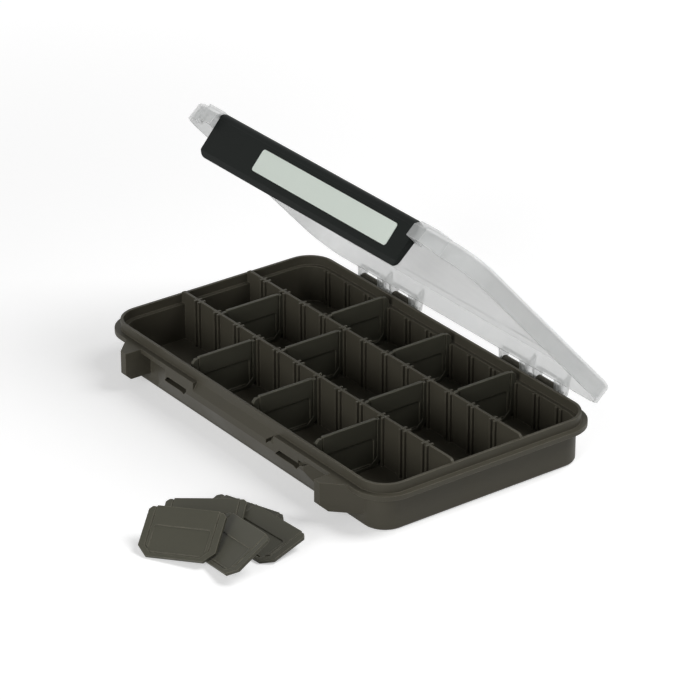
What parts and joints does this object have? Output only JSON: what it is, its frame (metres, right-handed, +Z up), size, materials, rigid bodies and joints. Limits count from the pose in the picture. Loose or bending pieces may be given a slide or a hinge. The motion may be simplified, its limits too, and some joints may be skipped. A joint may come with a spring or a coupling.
{
  "type": "compartment tackle box",
  "caption": "Flat compartment tackle box with a frosted hinged lid, a full-width front latch, long partitions and removable dividers, some of them lying loose in front.",
  "frame": {"origin": "middle of the tray's flat underside", "axes": "+Z up, -Y the front with the latch, +Y the hinge side, +X to the right along the front"},
  "size_m": [0.279, 0.286, 0.164],
  "materials": {
    "tray_plastic": "dark olive grey, fine matte texture",
    "divider_plastic": "dark olive, fine matte texture",
    "lid_plastic": "frosted translucent",
    "latch_plastic": "near-black satin",
    "label_plastic": "pale blank plate",
    "steel": "drawn wire"
  },
  "bodies": {
    "tray": {"base_tray": "tray_plastic", "hinge_pin_left": "steel", "hinge_pin_right": "steel", "divider_loose_1": "divider_plastic", "divider_loose_2": "divider_plastic", "divider_loose_3": "divider_plastic", "divider_loose_4": "divider_plastic", "divider_loose_5": "divider_plastic"},
    "lid": {"lid": "lid_plastic"},
    "latch": {"latch": "latch_plastic", "latch_label": "label_plastic", "latch_pin_left": "steel", "latch_pin_right": "steel"},
    "divider front 1": {"divider_front_1": "divider_plastic"},
    "divider front 2": {"divider_front_2": "divider_plastic"},
    "divider front 3": {"divider_front_3": "divider_plastic"},
    "divider middle 1": {"divider_middle_1": "divider_plastic"},
    "divider middle 2": {"divider_middle_2": "divider_plastic"},
    "divider middle 3": {"divider_middle_3": "divider_plastic"},
    "divider rear 1": {"divider_rear_1": "divider_plastic"},
    "divider rear 2": {"divider_rear_2": "divider_plastic"},
    "divider rear 3": {"divider_rear_3": "divider_plastic"}
  },
  "joints": [
    {"name": "lid hinge", "type": "hinge", "parent": "tray", "child": "lid", "pos_m": [0, 0.0885, 0.023], "axis": [-1, 0, 0], "range_deg": [-48.2, 111.8]},
    {"name": "latch hinge", "type": "hinge", "parent": "lid", "child": "latch", "pos_m": [0, -0.01879, 0.15981], "axis": [-1, 0, 0], "range_deg": [0, 85]},
    {"name": "divider front 1 lift", "type": "slide", "parent": "tray", "child": "divider front 1", "axis": [0, 0, 1], "range_m": [0, 0.024]},
    {"name": "divider front 2 lift", "type": "slide", "parent": "tray", "child": "divider front 2", "axis": [0, 0, 1], "range_m": [0, 0.024]},
    {"name": "divider front 3 lift", "type": "slide", "parent": "tray", "child": "divider front 3", "axis": [0, 0, 1], "range_m": [0, 0.024]},
    {"name": "divider middle 1 lift", "type": "slide", "parent": "tray", "child": "divider middle 1", "axis": [0, 0, 1], "range_m": [0, 0.024]},
    {"name": "divider middle 2 lift", "type": "slide", "parent": "tray", "child": "divider middle 2", "axis": [0, 0, 1], "range_m": [0, 0.024]},
    {"name": "divider middle 3 lift", "type": "slide", "parent": "tray", "child": "divider middle 3", "axis": [0, 0, 1], "range_m": [0, 0.024]},
    {"name": "divider rear 1 lift", "type": "slide", "parent": "tray", "child": "divider rear 1", "axis": [0, 0, 1], "range_m": [0, 0.024]},
    {"name": "divider rear 2 lift", "type": "slide", "parent": "tray", "child": "divider rear 2", "axis": [0, 0, 1], "range_m": [0, 0.024]},
    {"name": "divider rear 3 lift", "type": "slide", "parent": "tray", "child": "divider rear 3", "axis": [0, 0, 1], "range_m": [0, 0.024]}
  ]
}
